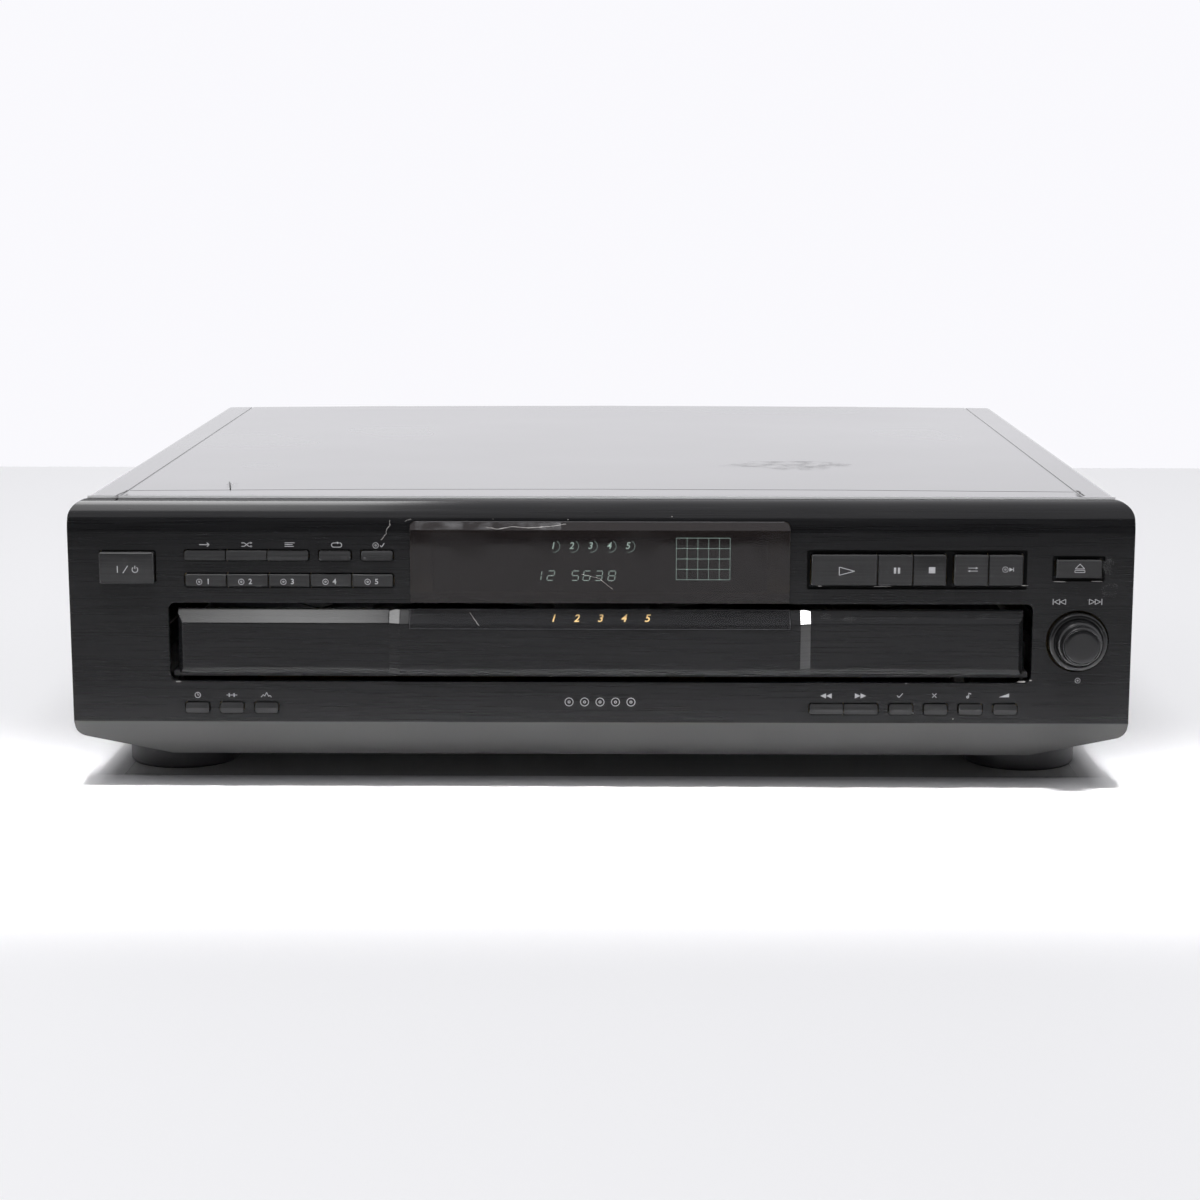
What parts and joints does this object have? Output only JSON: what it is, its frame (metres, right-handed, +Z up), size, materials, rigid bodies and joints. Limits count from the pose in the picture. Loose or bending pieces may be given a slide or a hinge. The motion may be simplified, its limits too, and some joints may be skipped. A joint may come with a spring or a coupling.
{
  "type": "compact disc changer",
  "caption": "Full-width hi-fi compact disc changer: a sliding drawer carries a rotary disc table, under a display and rows of keys.",
  "frame": {"origin": "on the floor under the middle of the outer box", "axes": "+X to the right seen from the front, +Y to the back, +Z up"},
  "size_m": [0.43, 0.4, 0.12],
  "materials": {
    "panel_plastic": "black moulded plastic with fine level brushing",
    "window_smoked": "polished smoked acrylic",
    "tube_glass": "clear glass over a dark display",
    "circuit_board": "paper phenolic board",
    "cover_paint": "satin black paint on steel sheet",
    "base_steel": "zinc plated sheet",
    "rear_paint": "satin black paint",
    "jack_plastic": "black block with plated sockets",
    "gland_rubber": "black moulded bush",
    "foot_plastic": "black moulded plastic",
    "screw_black": "blackened steel",
    "transformer_iron": "varnished laminations",
    "mechanism_plastic": "black moulded plastic",
    "motor_steel": "plated steel can",
    "gear_nylon": "natural nylon",
    "bridge_steel": "zinc plated sheet",
    "clamper_plastic": "black moulded plastic",
    "tray_plastic": "black moulded plastic",
    "lens_smoked": "polished smoked acrylic",
    "table_plastic": "black moulded plastic",
    "cap_plastic": "polished black plastic",
    "turntable_plastic": "black plastic with a rubber ring",
    "pickup_metal": "die cast, with a glass lens",
    "rail_steel": "ground steel rod",
    "encoder_plastic": "moulded plastic",
    "knob_plastic": "black moulded plastic, satin",
    "key_plastic": "black moulded plastic, satin"
  },
  "bodies": {
    "root": {"front_panel": "panel_plastic", "display_window": "window_smoked", "display_tube": "tube_glass", "front_boards": "circuit_board", "top_cover": "cover_paint", "chassis_base": "base_steel", "rear_panel": "rear_paint", "line_out_jacks": "jack_plastic", "cord_gland": "gland_rubber", "feet": "foot_plastic", "case_screws": "screw_black", "main_board": "circuit_board", "power_transformer": "transformer_iron", "mechanism_deck": "mechanism_plastic", "loading_motor": "motor_steel", "clamp_bridge": "bridge_steel"},
    "tray": {"tray_frame": "tray_plastic", "tray_front": "panel_plastic", "tray_front_lens": "lens_smoked", "table_motor": "motor_steel"},
    "carousel": {"rotary_table": "table_plastic", "table_cap": "cap_plastic"},
    "table_drive": {"table_drive_gear": "gear_nylon"},
    "lift": {"lift_frame": "mechanism_plastic", "lift_motors": "motor_steel", "sled_rails": "rail_steel"},
    "cam": {"lift_cam": "gear_nylon"},
    "turntable": {"spindle_turntable": "turntable_plastic"},
    "pickup": {"optical_pickup": "pickup_metal"},
    "clamper": {"disc_clamper": "clamper_plastic"},
    "loading": {"loading_gear": "gear_nylon"},
    "pinion": {"motor_pinion": "gear_nylon"},
    "encoder": {"encoder_rotor": "encoder_plastic"},
    "knob": {"jog_knob": "knob_plastic"},
    "power_key": {"power_key": "key_plastic"},
    "disc_1_key": {"disc_1_key": "key_plastic"},
    "disc_2_key": {"disc_2_key": "key_plastic"},
    "disc_3_key": {"disc_3_key": "key_plastic"},
    "disc_4_key": {"disc_4_key": "key_plastic"},
    "disc_5_key": {"disc_5_key": "key_plastic"},
    "continue_key": {"continue_key": "key_plastic"},
    "shuffle_key": {"shuffle_key": "key_plastic"},
    "program_key": {"program_key": "key_plastic"},
    "repeat_key": {"repeat_key": "key_plastic"},
    "disc_check_key": {"disc_check_key": "key_plastic"},
    "play_key": {"play_key": "key_plastic"},
    "pause_key": {"pause_key": "key_plastic"},
    "stop_key": {"stop_key": "key_plastic"},
    "exchange_key": {"exchange_key": "key_plastic"},
    "disc_skip_key": {"disc_skip_key": "key_plastic"},
    "open_close_key": {"open_close_key": "key_plastic"},
    "time_key": {"time_key": "key_plastic"},
    "edit_key": {"edit_key": "key_plastic"},
    "peak_search_key": {"peak_search_key": "key_plastic"},
    "rewind_key": {"rewind_key": "key_plastic"},
    "forward_key": {"forward_key": "key_plastic"},
    "check_key": {"check_key": "key_plastic"},
    "clear_key": {"clear_key": "key_plastic"},
    "music_scan_key": {"music_scan_key": "key_plastic"},
    "fader_key": {"fader_key": "key_plastic"}
  },
  "joints": [
    {"name": "tray_slide", "type": "slide", "parent": "root", "child": "tray", "axis": [0, -1, 0], "range_m": [0, 0.25]},
    {"name": "table_turn", "type": "hinge", "parent": "tray", "child": "carousel", "pos_m": [0, -0.006, 0.064], "axis": [0, 0, 1], "continuous": true},
    {"name": "lift_rise", "type": "slide", "parent": "root", "child": "lift", "axis": [0, 0, 1], "range_m": [0, 0.0215]},
    {"name": "pickup_slide", "type": "slide", "parent": "lift", "child": "pickup", "axis": [0, 1, 0], "range_m": [0, 0.035]},
    {"name": "turntable_spin", "type": "hinge", "parent": "lift", "child": "turntable", "pos_m": [0, 0.0986, 0.0435], "axis": [0, 0, 1], "continuous": true},
    {"name": "clamper_spin", "type": "hinge", "parent": "root", "child": "clamper", "pos_m": [0, 0.0986, 0.0657], "axis": [0, 0, 1], "continuous": true},
    {"name": "knob_turn", "type": "hinge", "parent": "root", "child": "encoder", "pos_m": [0.1932, -0.176, 0.0628], "axis": [0, -1, 0], "continuous": true},
    {"name": "knob_push", "type": "slide", "parent": "encoder", "child": "knob", "axis": [0, 1, 0], "range_m": [0, 0.0006], "stiffness_N_per_m": 800, "springref_m": -0.0004},
    {"name": "power_press", "type": "slide", "parent": "root", "child": "power_key", "axis": [0, 1, 0], "range_m": [0, 0.0008], "stiffness_N_per_m": 600, "springref_m": -0.0004},
    {"name": "disc_1_press", "type": "slide", "parent": "root", "child": "disc_1_key", "axis": [0, 1, 0], "range_m": [0, 0.0008], "stiffness_N_per_m": 600, "springref_m": -0.0004},
    {"name": "disc_2_press", "type": "slide", "parent": "root", "child": "disc_2_key", "axis": [0, 1, 0], "range_m": [0, 0.0008], "stiffness_N_per_m": 600, "springref_m": -0.0004},
    {"name": "disc_3_press", "type": "slide", "parent": "root", "child": "disc_3_key", "axis": [0, 1, 0], "range_m": [0, 0.0008], "stiffness_N_per_m": 600, "springref_m": -0.0004},
    {"name": "disc_4_press", "type": "slide", "parent": "root", "child": "disc_4_key", "axis": [0, 1, 0], "range_m": [0, 0.0008], "stiffness_N_per_m": 600, "springref_m": -0.0004},
    {"name": "disc_5_press", "type": "slide", "parent": "root", "child": "disc_5_key", "axis": [0, 1, 0], "range_m": [0, 0.0008], "stiffness_N_per_m": 600, "springref_m": -0.0004},
    {"name": "continue_press", "type": "slide", "parent": "root", "child": "continue_key", "axis": [0, 1, 0], "range_m": [0, 0.0008], "stiffness_N_per_m": 600, "springref_m": -0.0004},
    {"name": "shuffle_press", "type": "slide", "parent": "root", "child": "shuffle_key", "axis": [0, 1, 0], "range_m": [0, 0.0008], "stiffness_N_per_m": 600, "springref_m": -0.0004},
    {"name": "program_press", "type": "slide", "parent": "root", "child": "program_key", "axis": [0, 1, 0], "range_m": [0, 0.0008], "stiffness_N_per_m": 600, "springref_m": -0.0004},
    {"name": "repeat_press", "type": "slide", "parent": "root", "child": "repeat_key", "axis": [0, 1, 0], "range_m": [0, 0.0008], "stiffness_N_per_m": 600, "springref_m": -0.0004},
    {"name": "disc_check_press", "type": "slide", "parent": "root", "child": "disc_check_key", "axis": [0, 1, 0], "range_m": [0, 0.0008], "stiffness_N_per_m": 600, "springref_m": -0.0004},
    {"name": "play_press", "type": "slide", "parent": "root", "child": "play_key", "axis": [0, 1, 0], "range_m": [0, 0.0008], "stiffness_N_per_m": 600, "springref_m": -0.0004},
    {"name": "pause_press", "type": "slide", "parent": "root", "child": "pause_key", "axis": [0, 1, 0], "range_m": [0, 0.0008], "stiffness_N_per_m": 600, "springref_m": -0.0004},
    {"name": "stop_press", "type": "slide", "parent": "root", "child": "stop_key", "axis": [0, 1, 0], "range_m": [0, 0.0008], "stiffness_N_per_m": 600, "springref_m": -0.0004},
    {"name": "exchange_press", "type": "slide", "parent": "root", "child": "exchange_key", "axis": [0, 1, 0], "range_m": [0, 0.0008], "stiffness_N_per_m": 600, "springref_m": -0.0004},
    {"name": "disc_skip_press", "type": "slide", "parent": "root", "child": "disc_skip_key", "axis": [0, 1, 0], "range_m": [0, 0.0008], "stiffness_N_per_m": 600, "springref_m": -0.0004},
    {"name": "open_close_press", "type": "slide", "parent": "root", "child": "open_close_key", "axis": [0, 1, 0], "range_m": [0, 0.0008], "stiffness_N_per_m": 600, "springref_m": -0.0004},
    {"name": "time_press", "type": "slide", "parent": "root", "child": "time_key", "axis": [0, 1, 0], "range_m": [0, 0.0008], "stiffness_N_per_m": 600, "springref_m": -0.0004},
    {"name": "edit_press", "type": "slide", "parent": "root", "child": "edit_key", "axis": [0, 1, 0], "range_m": [0, 0.0008], "stiffness_N_per_m": 600, "springref_m": -0.0004},
    {"name": "peak_search_press", "type": "slide", "parent": "root", "child": "peak_search_key", "axis": [0, 1, 0], "range_m": [0, 0.0008], "stiffness_N_per_m": 600, "springref_m": -0.0004},
    {"name": "rewind_press", "type": "slide", "parent": "root", "child": "rewind_key", "axis": [0, 1, 0], "range_m": [0, 0.0008], "stiffness_N_per_m": 600, "springref_m": -0.0004},
    {"name": "forward_press", "type": "slide", "parent": "root", "child": "forward_key", "axis": [0, 1, 0], "range_m": [0, 0.0008], "stiffness_N_per_m": 600, "springref_m": -0.0004},
    {"name": "check_press", "type": "slide", "parent": "root", "child": "check_key", "axis": [0, 1, 0], "range_m": [0, 0.0008], "stiffness_N_per_m": 600, "springref_m": -0.0004},
    {"name": "clear_press", "type": "slide", "parent": "root", "child": "clear_key", "axis": [0, 1, 0], "range_m": [0, 0.0008], "stiffness_N_per_m": 600, "springref_m": -0.0004},
    {"name": "music_scan_press", "type": "slide", "parent": "root", "child": "music_scan_key", "axis": [0, 1, 0], "range_m": [0, 0.0008], "stiffness_N_per_m": 600, "springref_m": -0.0004},
    {"name": "fader_press", "type": "slide", "parent": "root", "child": "fader_key", "axis": [0, 1, 0], "range_m": [0, 0.0008], "stiffness_N_per_m": 600, "springref_m": -0.0004},
    {"name": "table_drive_spin", "type": "hinge", "parent": "tray", "child": "table_drive", "pos_m": [0, -0.034, 0.057], "axis": [0, 0, 1], "continuous": true},
    {"name": "cam_slide", "type": "slide", "parent": "root", "child": "cam", "axis": [0, -1, 0], "range_m": [0, 0.0322]},
    {"name": "loading_gear_spin", "type": "hinge", "parent": "root", "child": "loading", "pos_m": [0.15, -0.146, 0.0338], "axis": [1, 0, 0], "range_deg": [-5, 1029]},
    {"name": "pinion_spin", "type": "hinge", "parent": "root", "child": "pinion", "pos_m": [0.15, -0.125, 0.0338], "axis": [1, 0, 0], "range_deg": [-2052, 5]}
  ],
  "couplings": [
    {"joint": "table_drive_spin", "follows": "table_turn", "ratio": -3},
    {"joint": "cam_slide", "follows": "lift_rise", "ratio": 1.4884},
    {"joint": "loading_gear_spin", "follows": "tray_slide", "rad_per_m": 71.429},
    {"joint": "pinion_spin", "follows": "tray_slide", "rad_per_m": -142.86}
  ]
}
